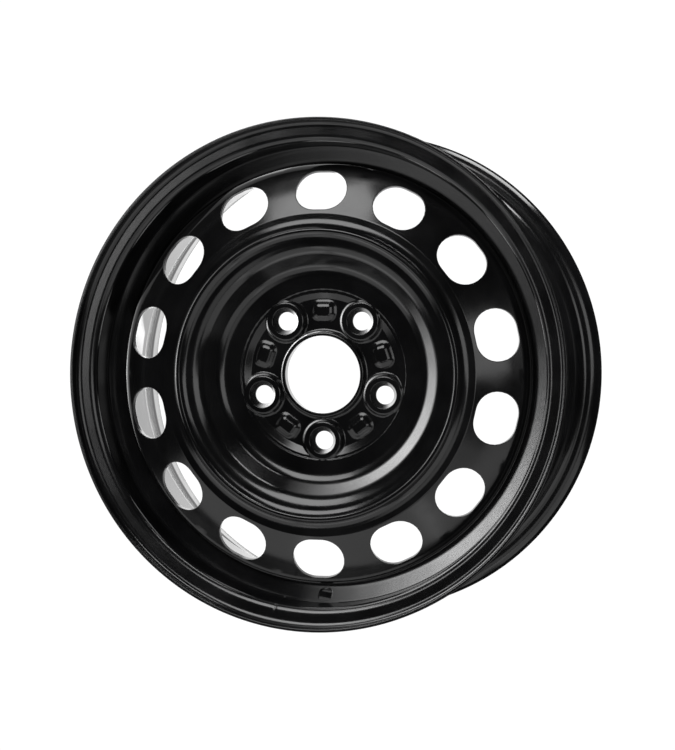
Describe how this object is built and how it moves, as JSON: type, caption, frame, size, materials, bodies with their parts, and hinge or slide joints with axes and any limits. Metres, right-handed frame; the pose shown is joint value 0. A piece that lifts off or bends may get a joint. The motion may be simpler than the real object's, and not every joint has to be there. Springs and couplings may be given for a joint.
{
  "type": "steel wheel rim",
  "caption": "Pressed-steel road wheel: rolled drop-centre rim with a vented centre disc welded into its well, satin black paint.",
  "frame": {"origin": "centre of the centre bore in the hub mounting face", "axes": "+Z along the wheel's axis towards the outboard face, so the wheel lies on its inboard flange; -Y towards the valve hole"},
  "size_m": [0.4402, 0.44, 0.191],
  "materials": {
    "rim_paint": "satin black paint over rolled steel",
    "disc_paint": "satin black paint over pressed steel",
    "weld_paint": "satin black paint over a rippled weld"
  },
  "bodies": {
    "root": {"rim_barrel": "rim_paint", "wheel_disc": "disc_paint", "weld_beads": "weld_paint"}
  },
  "joints": []
}
